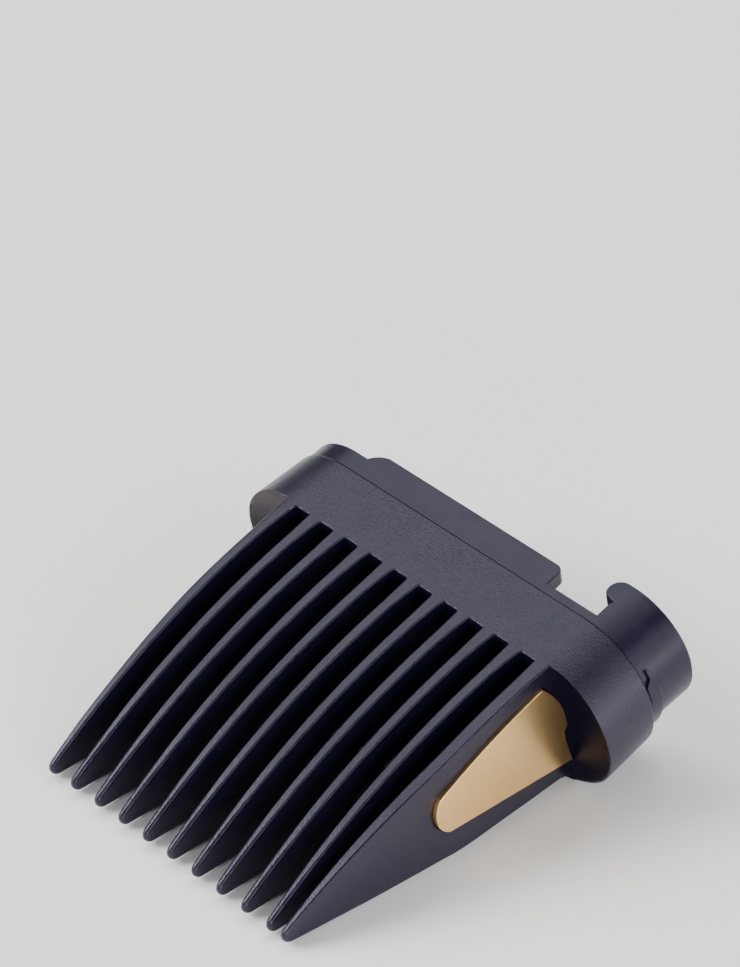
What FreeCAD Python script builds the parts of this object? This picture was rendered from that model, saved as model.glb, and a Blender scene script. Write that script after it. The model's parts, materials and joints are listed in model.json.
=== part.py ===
"""Attachment comb for a hair clipper.

A wedge of eleven teeth runs forward from an oval collar.  A mounting sleeve is
pressed into the back of the collar and slides over the clipper's head.  Each
side wall carries a gold insert in a shallow pocket.

The comb is drawn in its own frame: X across the teeth, +Y towards the sleeve,
Z up, Y = 0 at the ends of the slots, Z = 0 on the flat of the plate.  At the
end everything is tipped nose-down onto the tooth tips and the collar's lower
front edge, which is how the comb lies on a table, and the origin goes to the
middle of its footprint.  Millimetres.
"""
import FreeCAD, Part

import math
import os

from FreeCAD import Matrix, Placement, Rotation, Vector

# Teeth, seen from the side
PITCH = 3.5
TEETH = 11
TOP_RADIUS = 81.3         # the top edge is one arc, flush with the plate
NOSE_Y = -34.84            # middle of the round at a tooth's tip
NOSE_RADIUS = 1.0
WALL_HEIGHT = 16.73       # height of the wedge where it meets the collar
BELLY_SLOPE = 0.1446      # rise of the lower edge towards the tips
BELLY_CURVE = 0.001407    # and how it steepens, per mm

# Teeth, seen from above
SLOT_END_HALF = 0.97      # half width of a slot at its closed end
SLOT_CORNER = 0.28
ROOT_Y = -3.5             # a tooth has its root thickness here
ROOT_HALF = 0.61
TIP_HALF = 0.37

# Outer side walls: straight behind BEND_Y, leaning inwards in front of it
WALL_OUT = 0.84           # outer face beyond the middle of the outer tooth
BEND_Y = -12.5
BEND_LENGTH = 4.0
LEAN_RIGHT = 1.55
LEAN_LEFT = 0.30

# Hollow between the side walls, for the clipper's blade
HOLLOW_HALF = 15.75
HOLLOW_FRONT = -19.5
HOLLOW_NOSE = 1.3
RIB = 3.9                 # height of the ribs above and below the hollow

# Collar
COLLAR_HALF = 25.5        # at the front; the ends taper to COLLAR_REAR_HALF
COLLAR_REAR_HALF = 25.1
COLLAR_HEIGHT = 17.0
COLLAR_CORNER = 8.3
COLLAR_DEPTH = 7.2
COLLAR_WALL = 1.6
PLATE = 4.0               # front wall of the collar
DISH_DEPTH = 3.2          # scoop in the front wall beside each side wall
DISH_WIDTH = 7.35
DISH_HALF = 8.75

# Mounting sleeve
SLEEVE_HALF = 24.6
SLEEVE_TOP = -0.5
SLEEVE_BOTTOM = -14.9
SLEEVE_CORNER = 7.1
SLEEVE_WALL = 1.8
SPIGOT_FRONT = 4.2
SPIGOT_GAP = 0.02         # round the spigot, inside the collar
LOW_REAR = 9.6
TAB_REAR = 11.0
LOBE_REAR = 13.5
CUT_REAR = 8.45
TAB_LEFT = -15.4
TAB_RIGHT = 10.4
HOOK_X = 17.1
UNDER_TAB = 13.1
BAND_REAR = 8.7           # snap band at each end, behind the collar
BAND_PROUD = 0.35
BAND_TOP = -5.6
BAND_BOTTOM = -12.6
BAND_X = 19.0
RIB_FRONT = 7.9           # the right band starts as a narrow rib
RIB_REAR = 8.25
RIB_TOP = -3.7

# Gold inserts
POCKET = 0.85
INSERT_PROUD = 0.35
INSERT_GAP = 0.08
PEG_RADIUS = 0.55
PEG_LENGTH = 0.75
PEG_GAP = 0.03
SEAT_GAP = 0.02           # behind the plate, in its pocket
PEGS = ((-12.0, -7.2), (-3.4, -8.3))

FAR = 60.0
OVERLAP = 0.1             # by which cutters and fused pieces run into each other
WALL_X = (TEETH - 1) / 2 * PITCH + WALL_OUT
NOSE_Z = math.sqrt((TOP_RADIUS - NOSE_RADIUS)**2 - NOSE_Y**2) - TOP_RADIUS
SLEEVE_MID = (SLEEVE_TOP + SLEEVE_BOTTOM) / 2


def line(a, b):
    return Part.LineSegment(a, b).toShape()


def arc(a, b, c):
    return Part.Arc(a, b, c).toShape()


def face(edges):
    return Part.Face(Part.Wire(edges))


def top_z(y):
    """Height of the teeth's top edge."""
    return math.sqrt(TOP_RADIUS**2 - y**2) - TOP_RADIUS


def belly_z(y):
    """Height of the teeth's lower edge."""
    return -WALL_HEIGHT - BELLY_SLOPE * y + BELLY_CURVE * y**2


def wedge(x, width):
    """The side profile of the teeth as one block, from the tips to the collar's front wall."""
    lean = math.atan2(-NOSE_Y, TOP_RADIUS + NOSE_Z)
    rise = math.atan(BELLY_SLOPE - 2 * BELLY_CURVE * NOSE_Y)
    shoulder_y = NOSE_Y - NOSE_RADIUS * math.sin(lean)
    chin_y = NOSE_Y - NOSE_RADIUS * math.sin(rise)
    root_top = Vector(x, 0, 0)
    root_bottom = Vector(x, 0, -WALL_HEIGHT)
    shoulder = Vector(x, shoulder_y, top_z(shoulder_y))
    chin = Vector(x, chin_y, belly_z(chin_y))
    brow = Vector(x, shoulder_y / 2, top_z(shoulder_y / 2))
    belly = Vector(x, chin_y / 2, belly_z(chin_y / 2))
    nose = Vector(x, NOSE_Y - NOSE_RADIUS, NOSE_Z)
    outline = [
        arc(root_top, brow, shoulder),
        arc(shoulder, nose, chin),
        arc(chin, belly, root_bottom),
        line(root_bottom, root_top),
    ]
    return face(outline).extrude(Vector(width, 0, 0))


def wall_edges(x_back, y_back, x_tip, lean):
    """Plan of one face of an outer wall, from its back to past the tips, leaning by a signed amount."""
    front = NOSE_Y - 2.0
    steady = x_back + (x_tip - x_back) * (BEND_Y - y_back) / (front - y_back)
    slope = (x_tip - lean - steady) / (BEND_Y - front - BEND_LENGTH / 2)
    start = Vector(steady, BEND_Y, 0)
    mid = Vector(steady + slope * BEND_LENGTH / 8, BEND_Y - BEND_LENGTH / 2, 0)
    end = Vector(steady + slope * BEND_LENGTH / 2, BEND_Y - BEND_LENGTH, 0)
    tip = Vector(x_tip - lean, front, 0)
    return [line(Vector(x_back, y_back, 0), start), arc(start, mid, end), line(end, tip)], tip


def slot_side(centre, side, tooth):
    """One long side of a slot, from the corner of its closed end to past the tips."""
    corner = Vector(centre + side * SLOT_END_HALF, -SLOT_CORNER, 0)
    root_x = centre + side * (PITCH / 2 - ROOT_HALF)
    tip_x = centre + side * (PITCH / 2 - TIP_HALF)
    flare = line(corner, Vector(root_x, ROOT_Y, 0))
    if tooth == 0:
        edges, tip = wall_edges(root_x, ROOT_Y, tip_x, -LEAN_LEFT)
    elif tooth == TEETH - 1:
        edges, tip = wall_edges(root_x, ROOT_Y, tip_x, LEAN_RIGHT)
    else:
        tip = Vector(tip_x, NOSE_Y - 2.0, 0)
        edges = [line(Vector(root_x, ROOT_Y, 0), tip)]
    return [flare] + edges, corner, tip


def slot(number):
    """The gap between tooth number and the next one, as a tall cutter."""
    centre = (number + 0.5 - (TEETH - 1) / 2) * PITCH
    left, left_corner, left_tip = slot_side(centre, -1, number)
    right, right_corner, right_tip = slot_side(centre, 1, number + 1)
    inner = SLOT_END_HALF - SLOT_CORNER
    bite = SLOT_CORNER * (1 - math.sqrt(0.5))
    end_left = Vector(centre - inner, 0, 0)
    end_right = Vector(centre + inner, 0, 0)
    mid_left = Vector(centre - SLOT_END_HALF + bite, -bite, 0)
    mid_right = Vector(centre + SLOT_END_HALF - bite, -bite, 0)
    closed_end = [
        arc(left_corner, mid_left, end_left),
        line(end_left, end_right),
        arc(end_right, mid_right, right_corner),
    ]
    outline = Part.Wire(Part.__sortEdges__(left + closed_end + right + [line(right_tip, left_tip)]))
    cutter = Part.Face(outline).extrude(Vector(0, 0, 2 * FAR))
    return cutter.translated(Vector(0, 0, -FAR))


def outside_of_wall(side, lean):
    """Cutter for what lies outside the leaning front part of an outer wall."""
    tip_x = side * ((TEETH - 1) / 2 * PITCH + TIP_HALF)
    front = NOSE_Y - 2.0
    slope = (tip_x - side * lean - side * WALL_X) / (BEND_Y - front - BEND_LENGTH / 2)
    start = Vector(side * WALL_X, BEND_Y, 0)
    mid = Vector(start.x + slope * BEND_LENGTH / 8, BEND_Y - BEND_LENGTH / 2, 0)
    end = Vector(start.x + slope * BEND_LENGTH / 2, BEND_Y - BEND_LENGTH, 0)
    tip = Vector(tip_x - side * lean, front, 0)
    far_tip = Vector(side * FAR, front, 0)
    far_start = Vector(side * FAR, BEND_Y, 0)
    outline = [arc(start, mid, end), line(end, tip), line(tip, far_tip)]
    outline += [line(far_tip, far_start), line(far_start, start)]
    return face(outline).extrude(Vector(0, 0, 2 * FAR)).translated(Vector(0, 0, -FAR))


def blade_hollow():
    """The space for the clipper's blade, open through the collar's front wall."""
    x = -HOLLOW_HALF
    half_front = HOLLOW_FRONT / 2
    top_back = Vector(x, PLATE + OVERLAP, -RIB)
    top_root = Vector(x, 0, -RIB)
    top_mid = Vector(x, half_front, top_z(half_front) - RIB)
    top_front = Vector(x, HOLLOW_FRONT, top_z(HOLLOW_FRONT) - RIB)
    low_front = Vector(x, HOLLOW_FRONT, belly_z(HOLLOW_FRONT) + RIB)
    low_mid = Vector(x, half_front, belly_z(half_front) + RIB)
    low_root = Vector(x, 0, RIB - WALL_HEIGHT)
    low_back = Vector(x, PLATE + OVERLAP, RIB - WALL_HEIGHT)
    nose = Vector(x, HOLLOW_FRONT - HOLLOW_NOSE, (top_front.z + low_front.z) / 2)
    outline = [
        line(top_back, top_root),
        arc(top_root, top_mid, top_front),
        arc(top_front, nose, low_front),
        arc(low_front, low_mid, low_root),
        line(low_root, low_back),
        line(low_back, top_back),
    ]
    return face(outline).extrude(Vector(2 * HOLLOW_HALF, 0, 0))


def oval_wire(half, top, bottom, radius, y_front):
    """Outline of a block with rounded ends, at one depth."""
    bite = radius * (1 - math.sqrt(0.5))
    edges = []
    for side in (1, -1):
        upper, lower = (top, bottom) if side == 1 else (bottom, top)
        rise = side * radius
        corner_a = Vector(side * (half - radius), y_front, upper)
        corner_b = Vector(side * half, y_front, upper - rise)
        corner_c = Vector(side * half, y_front, lower + rise)
        corner_d = Vector(side * (half - radius), y_front, lower)
        mid_a = Vector(side * (half - bite), y_front, upper - side * bite)
        mid_c = Vector(side * (half - bite), y_front, lower + side * bite)
        across = Vector(-side * (half - radius), y_front, lower)
        edges += [arc(corner_a, mid_a, corner_b), line(corner_b, corner_c)]
        edges += [arc(corner_c, mid_c, corner_d), line(corner_d, across)]
    return Part.Wire(edges)


def oval(half, top, bottom, radius, y_front, y_back):
    """A block with rounded ends between two depths."""
    return Part.Face(oval_wire(half, top, bottom, radius, y_front)).extrude(Vector(0, y_back - y_front, 0))


def collar_oval(inset, y_front, y_back):
    """The collar's outline, set in by inset."""
    half = COLLAR_HALF - inset
    return oval(half, -inset, inset - COLLAR_HEIGHT, COLLAR_CORNER - inset, y_front, y_back)


def collar_outside():
    """The collar's outer form, whose ends taper towards the back."""
    front = oval_wire(COLLAR_HALF, 0, -COLLAR_HEIGHT, COLLAR_CORNER, 0)
    back = oval_wire(COLLAR_REAR_HALF, 0, -COLLAR_HEIGHT, COLLAR_CORNER, COLLAR_DEPTH)
    return Part.makeLoft([front, back], True, True)


def sleeve_oval(inset, y_front, y_back):
    """The sleeve's outline, set in by inset."""
    half = SLEEVE_HALF - inset
    top = SLEEVE_TOP - inset
    bottom = SLEEVE_BOTTOM + inset
    return oval(half, top, bottom, SLEEVE_CORNER - inset, y_front, y_back)


def window(side, x_inner, x_outer, gap):
    """The outline of the side window as a block; gap makes it that much smaller all round."""
    x = side * x_inner
    top_rear = Vector(x, -1.1 - gap, -2.0 - gap)
    top_mid = Vector(x, -8.8, -2.97 - gap)
    top_front = Vector(x, -16.1 + gap, -4.85 - gap)
    tip = Vector(x, -17.0 + gap, -7.2)
    low_front = Vector(x, -15.6 + gap, -10.3 + gap)
    low_rear = Vector(x, 1.5 - gap, -14.95 + gap)
    tab_low = Vector(x, 0.95 - gap, -11.3)
    tab_high = Vector(x, 0.95 - gap, -10.1)
    rear_low = Vector(x, 1.45 - gap, -9.6 + gap)
    rear_mid = Vector(x, 0.55 - gap, -5.0)
    outline = [
        arc(top_rear, top_mid, top_front),
        arc(top_front, tip, low_front),
        line(low_front, low_rear),
        line(low_rear, tab_low),
        line(tab_low, tab_high),
        line(tab_high, rear_low),
        arc(rear_low, rear_mid, top_rear),
    ]
    return face(outline).extrude(Vector(side * (x_outer - x_inner), 0, 0))


def peg(side, place, radius, x_inner, x_outer):
    start = Vector(side * x_outer, place[0], place[1])
    return Part.makeCylinder(radius, x_outer - x_inner, start, Vector(-side, 0, 0))


def dish(side):
    """Oval scoop over the whole front of the collar outside the side wall."""
    radius = (DISH_WIDTH**2 + DISH_DEPTH**2) / (2 * DISH_DEPTH)
    stretch = Matrix()
    stretch.scale(1, 1, DISH_HALF / DISH_WIDTH)
    egg = Part.makeSphere(radius).transformGeometry(stretch)
    egg.translate(Vector(side * WALL_X, DISH_DEPTH - radius, -COLLAR_HEIGHT / 2))
    keep = Part.makeBox(FAR, FAR, FAR, Vector(WALL_X if side == 1 else -WALL_X - FAR, -FAR / 2, -FAR / 2))
    return egg.common(keep)


def comb_body():
    """Teeth, side walls and collar: one moulding."""
    block = wedge(-WALL_X, 2 * WALL_X)
    block = block.cut(outside_of_wall(1, LEAN_RIGHT)).cut(outside_of_wall(-1, LEAN_LEFT))
    block = block.common(collar_oval(0, NOSE_Y - 2 * NOSE_RADIUS, 0))
    collar = collar_outside().cut(collar_oval(COLLAR_WALL, PLATE, COLLAR_DEPTH + 1))
    body = block.fuse(collar)
    body = body.cut([slot(number) for number in range(TEETH - 1)])
    body = body.cut(blade_hollow())
    for side in (1, -1):
        body = body.cut(dish(side))
        body = body.cut(window(side, WALL_X - POCKET, WALL_X + INSERT_PROUD + OVERLAP, 0))
        for place in PEGS:
            body = body.cut(peg(side, place, PEG_RADIUS + PEG_GAP, WALL_X - POCKET - 2, WALL_X))
    return body.removeSplitter()


def side_insert(side):
    """Gold plate of a side window, with the pegs that hold it in the wall."""
    inner = WALL_X - POCKET + SEAT_GAP
    plate = window(side, inner, WALL_X + INSERT_PROUD, INSERT_GAP)
    for place in PEGS:
        plate = plate.fuse(peg(side, place, PEG_RADIUS, inner - PEG_LENGTH, inner + OVERLAP))
    return plate.removeSplitter()


def upper_plan():
    """Plan of the sleeve's upper half: low left end, tab, cut-out, hook and tall right end."""
    front = SPIGOT_FRONT - 1
    points = {
        "left": Vector(-FAR, LOW_REAR, 0),
        "tab_foot": Vector(TAB_LEFT - 0.6, LOW_REAR, 0),
        "tab_rise": Vector(TAB_LEFT + 0.2, TAB_REAR - 0.5, 0),
        "tab_left": Vector(TAB_LEFT + 1.3, TAB_REAR, 0),
        "tab_right": Vector(TAB_RIGHT - 1.0, TAB_REAR, 0),
        "tab_round": Vector(TAB_RIGHT - 0.25, TAB_REAR - 0.3, 0),
        "tab_end": Vector(TAB_RIGHT, TAB_REAR - 1.0, 0),
        "cut_left": Vector(TAB_RIGHT + 0.1, CUT_REAR, 0),
        "cut_right": Vector(HOOK_X, CUT_REAR, 0),
        "throat": Vector(HOOK_X - 0.05, CUT_REAR + 2.05, 0),
        "notch": Vector(HOOK_X + 0.1, CUT_REAR + 2.3, 0),
        "nose_low": Vector(HOOK_X - 1.25, CUT_REAR + 2.65, 0),
        "nose": Vector(HOOK_X - 1.6, CUT_REAR + 3.9, 0),
        "nose_top": Vector(HOOK_X - 0.3, LOBE_REAR, 0),
        "right": Vector(FAR, LOBE_REAR, 0),
    }
    edges = [line(Vector(-FAR, front, 0), points["left"])]
    edges += [line(points["left"], points["tab_foot"])]
    edges += [arc(points["tab_foot"], points["tab_rise"], points["tab_left"])]
    edges += [line(points["tab_left"], points["tab_right"])]
    edges += [arc(points["tab_right"], points["tab_round"], points["tab_end"])]
    straight = ["tab_end", "cut_left", "cut_right", "throat", "notch", "nose_low"]
    edges += [line(points[a], points[b]) for a, b in zip(straight, straight[1:])]
    edges += [arc(points["nose_low"], points["nose"], points["nose_top"])]
    edges += [line(points["nose_top"], points["right"])]
    edges += [line(points["right"], Vector(FAR, front, 0))]
    edges += [line(Vector(FAR, front, 0), Vector(-FAR, front, 0))]
    return face(edges).extrude(Vector(0, 0, FAR)).translated(Vector(0, 0, SLEEVE_MID))


def lower_plan():
    """Plan of the sleeve's lower half: a plain middle tab, and the tall right end again."""
    front = SPIGOT_FRONT - 1
    rise = TAB_REAR - LOW_REAR
    corners = [
        (-FAR, front),
        (-FAR, LOW_REAR),
        (-UNDER_TAB - rise / 2, LOW_REAR),
        (-UNDER_TAB + rise / 2, TAB_REAR),
        (UNDER_TAB - rise / 2, TAB_REAR),
        (UNDER_TAB + rise / 2, LOW_REAR),
        (HOOK_X, LOW_REAR),
        (HOOK_X + 1.6, LOBE_REAR),
        (FAR, LOBE_REAR),
        (FAR, front),
    ]
    points = [Vector(x, y, 0) for x, y in corners]
    edges = [line(a, b) for a, b in zip(points, points[1:] + points[:1])]
    return face(edges).extrude(Vector(0, 0, -FAR)).translated(Vector(0, 0, SLEEVE_MID))


def snap_band(side):
    """Raised band at one end of the sleeve; the right one starts as a narrow rib with a ramp each side."""
    rib = [
        (COLLAR_DEPTH, BAND_TOP + 0.4),
        (RIB_FRONT, BAND_TOP + 1.0),
        (RIB_FRONT, RIB_TOP),
        (RIB_REAR, RIB_TOP),
        (RIB_REAR, BAND_TOP + 0.7),
    ]
    plain = [(COLLAR_DEPTH, BAND_TOP)]
    corners = [(COLLAR_DEPTH, BAND_BOTTOM)] + (rib if side == 1 else plain)
    corners += [(BAND_REAR, BAND_TOP), (BAND_REAR, BAND_BOTTOM)]
    points = [Vector(side * BAND_X, y, z) for y, z in corners]
    outline = [line(a, b) for a, b in zip(points, points[1:] + points[:1])]
    zone = face(outline).extrude(Vector(side * FAR, 0, 0))
    return sleeve_oval(-BAND_PROUD, COLLAR_DEPTH, BAND_REAR).common(zone)


def mounting_sleeve():
    """Ring that slides over the clipper's head, with the spigot that sits in the collar."""
    spigot = collar_oval(COLLAR_WALL + SPIGOT_GAP, SPIGOT_FRONT, COLLAR_DEPTH)
    outside = sleeve_oval(0, COLLAR_DEPTH, LOBE_REAR).fuse(spigot)
    for side in (1, -1):
        outside = outside.fuse(snap_band(side))
    ring = outside.cut(sleeve_oval(SLEEVE_WALL, SPIGOT_FRONT - 1, LOBE_REAR + 1))
    return ring.common(upper_plan().fuse(lower_plan())).removeSplitter()


def rest_angle():
    """Nose-down tip, in degrees, that puts the tooth tips and the collar's lower front edge on a table."""
    rise = NOSE_Z + COLLAR_HEIGHT
    reach = math.hypot(NOSE_Y, rise)
    return math.degrees(math.atan2(rise, -NOSE_Y) - math.asin(NOSE_RADIUS / reach))


nodes = {
    "comb_body": comb_body(),
    "mounting_sleeve": mounting_sleeve(),
    "side_insert_right": side_insert(1),
    "side_insert_left": side_insert(-1),
}

turn = Placement(Vector(), Rotation(Vector(1, 0, 0), rest_angle()))
for shape in nodes.values():
    shape.Placement = turn
box = Part.makeCompound(list(nodes.values())).optimalBoundingBox()
shift = Vector(0, -(box.YMin + box.YMax) / 2, -box.ZMin)

os.makedirs("parts", exist_ok=True)
for name, shape in nodes.items():
    shape.Placement = Placement(shift, turn.Rotation)
    shape.exportStep(f"parts/{name}.step")
    solids = len(shape.Solids)
    size = shape.optimalBoundingBox()
    print(f"{name}: {solids} solid, valid {shape.isValid()}, {shape.Volume:.0f} mm3, "
          f"z {size.ZMin:.2f} to {size.ZMax:.2f}")
print(f"tip {rest_angle():.3f} deg, shift {shift.y:.3f} {shift.z:.3f}, "
      f"overall {box.XLength:.2f} x {box.YLength:.2f} x {box.ZLength:.2f}")
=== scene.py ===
"""Hair clipper attachment comb on a studio table.  Metres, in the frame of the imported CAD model."""
import json
import math

import bmesh
import bpy
from mathutils import Matrix, Vector


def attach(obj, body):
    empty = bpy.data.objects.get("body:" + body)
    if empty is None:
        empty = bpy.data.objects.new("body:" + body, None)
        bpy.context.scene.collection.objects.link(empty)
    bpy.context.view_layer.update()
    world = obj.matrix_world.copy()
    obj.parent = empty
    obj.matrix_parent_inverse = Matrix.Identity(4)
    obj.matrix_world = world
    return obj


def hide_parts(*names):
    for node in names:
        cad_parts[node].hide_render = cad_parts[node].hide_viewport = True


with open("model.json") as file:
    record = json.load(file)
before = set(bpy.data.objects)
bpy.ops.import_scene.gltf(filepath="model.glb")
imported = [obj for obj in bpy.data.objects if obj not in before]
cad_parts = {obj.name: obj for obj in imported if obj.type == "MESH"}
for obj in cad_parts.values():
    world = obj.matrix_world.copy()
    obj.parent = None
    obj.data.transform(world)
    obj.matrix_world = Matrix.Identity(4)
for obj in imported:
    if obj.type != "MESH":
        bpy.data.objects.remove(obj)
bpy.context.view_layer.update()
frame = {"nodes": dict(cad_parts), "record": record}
MM = 0.001

# ---------------------------------------------------------------------------
# The comb moulding: eleven teeth, the outer two of them full side walls, running
# out of an oval collar.  One shot of black glass-filled nylon from a two-plate
# mould, whose cavity was spark-eroded on its faces and eased along its edges.

# The comb lies nose-down, but its rounds are chosen in its own upright frame.
socket = next(mount for mount in frame["record"]["mounts"] if mount["name"] == "socket")
nose_down = math.atan2(socket["axis"][2], socket["axis"][1])
SOCKET_IN_COMB = Vector((0, 9.6, -7.7)) * MM     # the middle of the socket's mouth
comb_to_world = Matrix.Translation(socket["pos_m"]) @ Matrix.Rotation(nose_down, 4, "X")
comb_to_world = comb_to_world @ Matrix.Translation(-SOCKET_IN_COMB)
world_to_comb = comb_to_world.inverted()

SHARP_TURN = 24           # degrees between two faces; a smaller turn is part of a curved face


def ease(value, start, end):
    """0 at start, 1 at end, smooth in between."""
    share = min(max((value - start) / (end - start), 0), 1)
    return share * share * (3 - 2 * share)


def softened(node, name, round_of, largest):
    """A copy of a CAD node with moulded rounds; round_of gives an edge's radius in mm, at most largest."""
    mesh = bmesh.new()
    mesh.from_mesh(frame["nodes"][node].data)
    bmesh.ops.remove_doubles(mesh, verts=mesh.verts, dist=0.002 * MM)
    bmesh.ops.dissolve_limit(mesh, angle_limit=math.radians(0.05), verts=mesh.verts, edges=mesh.edges)
    weight = mesh.edges.layers.float.new("bevel_weight_edge")
    for edge in mesh.edges:
        turn = math.degrees(edge.calc_face_angle_signed())
        edge.smooth = abs(turn) < SHARP_TURN
        if turn > SHARP_TURN:
            ends = [world_to_comb @ vertex.co / MM for vertex in edge.verts]
            edge[weight] = round_of((ends[0] + ends[1]) / 2) / largest
    data = bpy.data.meshes.new(name)
    mesh.to_mesh(data)
    mesh.free()
    piece = bpy.data.objects.new(name, data)
    bpy.context.scene.collection.objects.link(piece)
    rounds = piece.modifiers.new("moulded_rounds", "BEVEL")
    rounds.limit_method = "WEIGHT"
    rounds.width = largest * MM
    rounds.segments = 3
    rounds.use_clamp_overlap = False
    rounds.miter_outer = "MITER_ARC"
    flats = piece.modifiers.new("flat_faces_stay_flat", "WEIGHTED_NORMAL")
    flats.keep_sharp = True
    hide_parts(node)
    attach(piece, "root")
    return piece


def linear(hex_colour):
    """An sRGB hex colour as the linear values that shaders take."""
    parts = [int(hex_colour[i:i + 2], 16) / 255 for i in (1, 3, 5)]
    return [p / 12.92 if p <= 0.04045 else ((p + 0.055) / 1.055)**2.4 for p in parts] + [1.0]


def add_node(tree, kind, sockets=None, **settings):
    """Adds a node with its settings; sockets holds values, or outputs of other nodes to link."""
    made = tree.nodes.new("ShaderNode" + kind)
    for name, value in settings.items():
        setattr(made, name, value)
    for name, value in (sockets or {}).items():
        if isinstance(value, bpy.types.NodeSocket):
            tree.links.new(value, made.inputs[name])
        else:
            made.inputs[name].default_value = value
    return made


FLOW_WIDTH = 2.2          # mm, the clouds that the flow of the melt leaves
GLOSS_SWING = 0.03        # how far roughness swings to either side in those clouds
SPECK_SIZE = 0.6          # size of the sharper specks between the pits, in pit widths
SPECK_SHARE = 0.45        # their share in the skin's relief


def eroded_plastic(name, dark, light, rough, pit_width, pit_depth, gloss_tint, ior):
    """Black moulded plastic with a spark-eroded skin: pits of a given width and depth in mm, over a
    cloudier swing in tone and gloss that the flow of the melt leaves."""
    material = bpy.data.materials.new(name)
    material.use_nodes = True
    tree = material.node_tree
    place = add_node(tree, "TexCoord").outputs["Object"]
    flow = add_node(tree, "TexNoise", {"Vector": place, "Scale": 1 / (FLOW_WIDTH * MM), "Detail": 2.0})
    pits = add_node(tree, "TexNoise", {"Vector": place, "Scale": 1 / (pit_width * MM), "Detail": 3.0})
    specks = add_node(tree, "TexVoronoi", {"Vector": place, "Scale": 1 / (SPECK_SIZE * pit_width * MM)})
    tone = add_node(tree, "Mix", {0: flow.outputs["Fac"], 6: linear(dark), 7: linear(light)},
                    data_type="RGBA")
    gloss = add_node(tree, "MapRange", {"Value": flow.outputs["Fac"], "From Min": 0.3, "From Max": 0.7,
                                        "To Min": rough - GLOSS_SWING, "To Max": rough + GLOSS_SWING})
    skin = add_node(tree, "Mix", {0: SPECK_SHARE, 2: pits.outputs["Fac"], 3: specks.outputs["Distance"]})
    bump = add_node(tree, "Bump", {"Height": skin.outputs[0], "Strength": 1.0, "Distance": pit_depth * MM})
    shader = tree.nodes["Principled BSDF"]
    shader.inputs["IOR"].default_value = ior
    shader.inputs["Specular Tint"].default_value = linear(gloss_tint)
    tree.links.new(tone.outputs[2], shader.inputs["Base Color"])
    tree.links.new(gloss.outputs["Result"], shader.inputs["Roughness"])
    tree.links.new(bump.outputs["Normal"], shader.inputs["Normal"])
    return material


WALL_FACE = 18.3          # |x| of the outer walls, mm in the comb's own frame, as are all of these
SLACK = 0.1               # how far an edge may lie short of a face that it belongs to
COLLAR_BACK = 7.2         # y of the collar's rear edge
SCOOP_TOP = -4.5          # z between which the scoops' rims get softer
SCOOP_FOOT = -11.5
WINDOW_FRONT = -18        # y and z round the pockets that hold the gold plates
WINDOW_REAR = 2
WINDOW_FOOT = -15.2
WINDOW_TOP = -1.8
SHOULDER_FOOT = -6        # z above which the left wall's outer top edge lies
SHOULDER_GROWS = (0, -6)  # y along which that edge's round grows, and along which it shrinks
SHOULDER_SHRINKS = (-24, -33)
TIP_START = -27           # y between which the teeth's edges get rounder
TIP_END = -34


def comb_round(middle):
    """Fine on the strips, fuller at the tips and on the left shoulder, crisp at the scoops' upper rims
    and softer lower down."""
    beside = abs(middle.x)
    if middle.y > COLLAR_BACK - SLACK:
        return 0.25
    if beside > WALL_FACE + 0.5:
        return 0.1 + 0.25 * ease(middle.z, SCOOP_TOP, SCOOP_FOOT)
    on_wall = beside > WALL_FACE - SLACK
    if on_wall and WINDOW_FRONT < middle.y < WINDOW_REAR and WINDOW_FOOT < middle.z < WINDOW_TOP:
        return 0.05
    if middle.x < -WALL_FACE + 1 and middle.z > SHOULDER_FOOT:
        grown = ease(middle.y, *SHOULDER_GROWS)
        kept = 1 - ease(middle.y, *SHOULDER_SHRINKS)
        return 0.15 + 0.45 * grown * kept
    return 0.17 + 0.13 * ease(middle.y, TIP_START, TIP_END)


# Glass-filled nylon 66, blue-black from its carbon masterbatch: the eye sees a dull sheen that breaks
# up into fine grain where light grazes it.  The real pits are 0.1 mm wide, too fine to show, so they
# are drawn 0.26 mm wide.
nylon = eroded_plastic("glass_filled_nylon", "#0a091b", "#0f0e23", rough=0.33, pit_width=0.26,
                       pit_depth=0.046, gloss_tint="#f2e9fd", ior=1.48)

comb = softened("comb_body", "comb_moulding", comb_round, largest=0.6)
comb.data.materials.append(nylon)

# ---------------------------------------------------------------------------
# The mounting sleeve: an oval ring whose spigot is pressed into the collar and
# whose tall, hooked end clips on the clipper's head.  Moulded in unfilled black
# ABS, which springs, with a finer mould finish than the comb's.

BAND_BACK = 8.8           # y behind the snap bands, mm in the comb's own frame


def sleeve_round(middle):
    """Softer on the rear rims, which the clipper's head is pushed into, than on the snap bands."""
    return 0.15 if middle.y > BAND_BACK else 0.08


# Unfilled ABS in the same blue-black.  Its skin is shallower, so the eye sees a clean satin sheen with
# hardly any grain.  Its pits too are finer than the 0.22 mm that they are drawn.
satin_abs = eroded_plastic("satin_black_abs", "#0a091b", "#0f0e23", rough=0.33, pit_width=0.22,
                           pit_depth=0.016, gloss_tint="#f2e9fd", ior=1.425)

sleeve = softened("mounting_sleeve", "sleeve_moulding", sleeve_round, largest=0.15)
sleeve.data.materials.append(satin_abs)

# ---------------------------------------------------------------------------
# The two side inserts: thin plates with a pair of pegs behind, heat-staked into
# pockets of the side walls.  Moulded ABS, vacuum-metallised and lacquered in
# champagne gold.

INSERT_FACE = 18.6        # |x| beyond which an edge belongs to the plate's show face
MIST_WIDTH = 1.1          # mm, the lacquer's clouds
PEEL_WIDTH = 0.35         # mm, its orange peel
PEEL_DEPTH = 0.012

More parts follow.
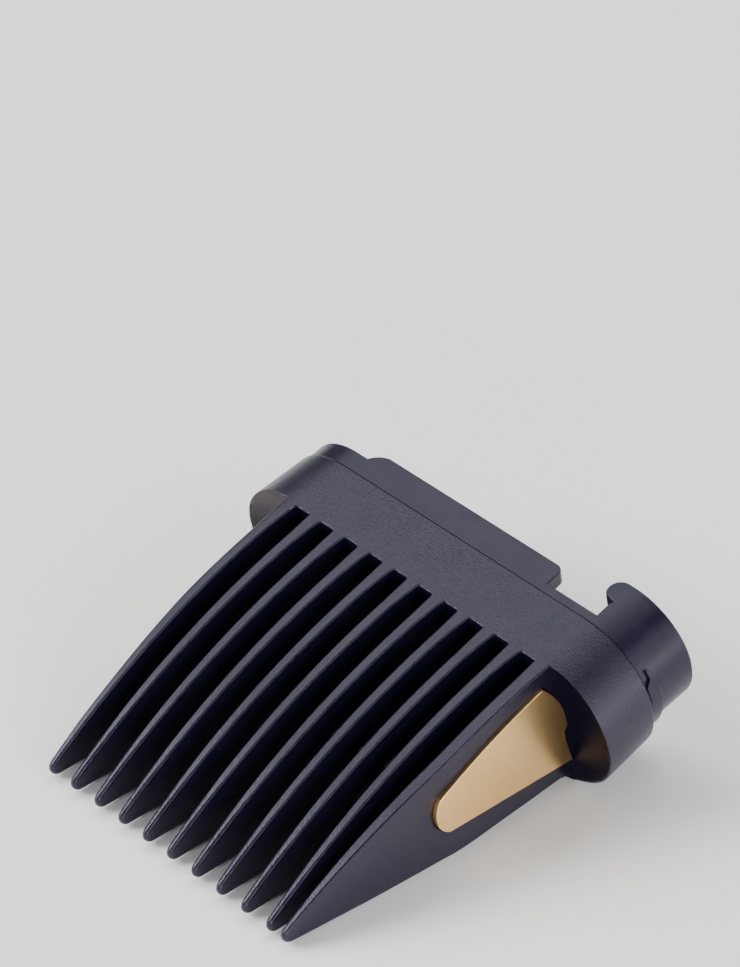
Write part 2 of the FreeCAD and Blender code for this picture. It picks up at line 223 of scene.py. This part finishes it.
# The lacquer sprayed over the aluminium film is satin, so the plate mirrors the collar as a soft dark
# cloud, and its mist of droplets leaves faint clouds of gloss and a shallow orange peel.
gold = bpy.data.materials.new("champagne_metallised_abs")
gold.use_nodes = True
tree = gold.node_tree
place = add_node(tree, "TexCoord").outputs["Object"]
mist = add_node(tree, "TexNoise", {"Vector": place, "Scale": 1 / (MIST_WIDTH * MM), "Detail": 3.0})
peel = add_node(tree, "TexNoise", {"Vector": place, "Scale": 1 / (PEEL_WIDTH * MM), "Detail": 2.0})
tone = add_node(tree, "Mix", {0: mist.outputs["Fac"], 6: linear("#ffd088"), 7: linear("#ffdc9c")},
                data_type="RGBA")
gloss = add_node(tree, "MapRange", {"Value": mist.outputs["Fac"], "From Min": 0.3, "From Max": 0.7,
                                    "To Min": 0.32, "To Max": 0.37})
bump = add_node(tree, "Bump", {"Height": peel.outputs["Fac"], "Strength": 1.0, "Distance": PEEL_DEPTH * MM})
shader = tree.nodes["Principled BSDF"]
shader.inputs["Metallic"].default_value = 1.0
tree.links.new(tone.outputs[2], shader.inputs["Base Color"])
tree.links.new(gloss.outputs["Result"], shader.inputs["Roughness"])
tree.links.new(bump.outputs["Normal"], shader.inputs["Normal"])


def insert_round(middle):
    """The show face's rim is rounded; the hidden edges are not."""
    return 0.07 if abs(middle.x) > INSERT_FACE else 0.0


for side in ("right", "left"):
    plate = softened(f"side_insert_{side}", f"gold_plate_{side}", insert_round, largest=0.07)
    plate.data.materials.append(gold)

# ---------------------------------------------------------------------------
# The studio table: a sheet of matt white acrylic, far larger than the comb.  Its
# frosting varies a little in tone, in patches some 40 mm wide.

TABLE_HALF = 1.5
FROST_WIDTH = 40
acrylic = bpy.data.materials.new("matt_acrylic")
acrylic.use_nodes = True
tree = acrylic.node_tree
place = add_node(tree, "TexCoord").outputs["Object"]
frost = add_node(tree, "TexNoise", {"Vector": place, "Scale": 1 / (FROST_WIDTH * MM), "Detail": 2.0})
tone = add_node(tree, "Mix", {0: frost.outputs["Fac"], 6: linear("#f8f8f8"), 7: linear("#fbfbfb")},
                data_type="RGBA")
tree.links.new(tone.outputs[2], tree.nodes["Principled BSDF"].inputs["Base Color"])
tree.nodes["Principled BSDF"].inputs["Roughness"].default_value = 0.7

corners = [(-TABLE_HALF, -TABLE_HALF, 0), (TABLE_HALF, -TABLE_HALF, 0)]
corners += [(TABLE_HALF, TABLE_HALF, 0), (-TABLE_HALF, TABLE_HALF, 0)]
sheet = bpy.data.meshes.new("table")
sheet.from_pydata(corners, [], [(0, 1, 2, 3)])
sheet.materials.append(acrylic)
table = bpy.data.objects.new("table", sheet)
bpy.context.scene.collection.objects.link(table)

# ---------------------------------------------------------------------------
# The camera: a long lens looking down over the comb's right front corner.

AIM = Vector((-7.357, 9.696, 24.526)) * MM       # above and behind the comb, which stays low in view
DISTANCE = 450.8 * MM
AZIMUTH = math.radians(44.281)
ELEVATION = math.radians(38.043)
ROLL = math.radians(1.419)
turn = Matrix.Rotation(AZIMUTH, 3, "Z") @ Matrix.Rotation(math.pi / 2 - ELEVATION, 3, "X")
turn = turn @ Matrix.Rotation(ROLL, 3, "Z")
lens = bpy.data.cameras.new("camera")
lens.lens = 168.6
lens.sensor_width = 36
camera = bpy.data.objects.new("camera", lens)
camera.matrix_world = Matrix.Translation(AIM + turn @ Vector((0, 0, DISTANCE))) @ turn.to_4x4()
bpy.context.scene.collection.objects.link(camera)
bpy.context.scene.camera = camera

# ---------------------------------------------------------------------------
# The studio light: softboxes round the comb in three tiers, all of them outside the
# camera's view.  The strongest, the key light, stands at the comb's front left.

COMB_MIDDLE = Vector((0, 0, 8)) * MM
REACH = 0.9               # from the comb to every softbox
BOX_WIDTH = 0.5
HIGH = (57, 0.4)          # each tier's elevation in degrees, and its softboxes' height
MIDDLE = (32, 0.4)
LOW = (9, 0.26)


def softbox(name, tier, azimuth, brightness):
    """A softbox that faces the comb; azimuth runs from +X towards +Y, and brightness is its radiance."""
    elevation, height = tier
    light = bpy.data.lights.new(name, "AREA")
    light.shape = "RECTANGLE"
    light.size = BOX_WIDTH
    light.size_y = height
    light.energy = brightness * math.pi * BOX_WIDTH * height
    lamp = bpy.data.objects.new(name, light)
    flat = math.cos(math.radians(elevation))
    towards = Vector((flat * math.cos(math.radians(azimuth)), flat * math.sin(math.radians(azimuth)),
                      math.sin(math.radians(elevation))))
    facing = towards.to_track_quat("Z", "Y").to_matrix().to_4x4()
    lamp.matrix_world = Matrix.Translation(COMB_MIDDLE + towards * REACH) @ facing
    bpy.context.scene.collection.objects.link(lamp)


softbox("high_left", HIGH, 180, 3.5)
softbox("high_back_left", HIGH, 135, 2.5)
softbox("high_back", HIGH, 90, 4.0)
softbox("left", MIDDLE, 180, 2.5)
softbox("front_left", MIDDLE, 225, 16.0)
softbox("front", MIDDLE, 315, 1.0)
softbox("right", MIDDLE, 0, 5.5)
softbox("back_right", MIDDLE, 45, 1.5)
softbox("low_front_left", LOW, 225, 3.5)
softbox("low_front", LOW, 315, 10.0)
softbox("low_right_front", LOW, 340, 2.0)
softbox("low_right", LOW, 25, 4.5)
softbox("low_back_right", LOW, 50, 3.5)

# The room behind them is nearly dark.
studio = bpy.data.worlds.new("studio")
studio.use_nodes = True
studio.node_tree.nodes["Background"].inputs["Color"].default_value = linear("#c8c8d0")
studio.node_tree.nodes["Background"].inputs["Strength"].default_value = 0.02
bpy.context.scene.world = studio
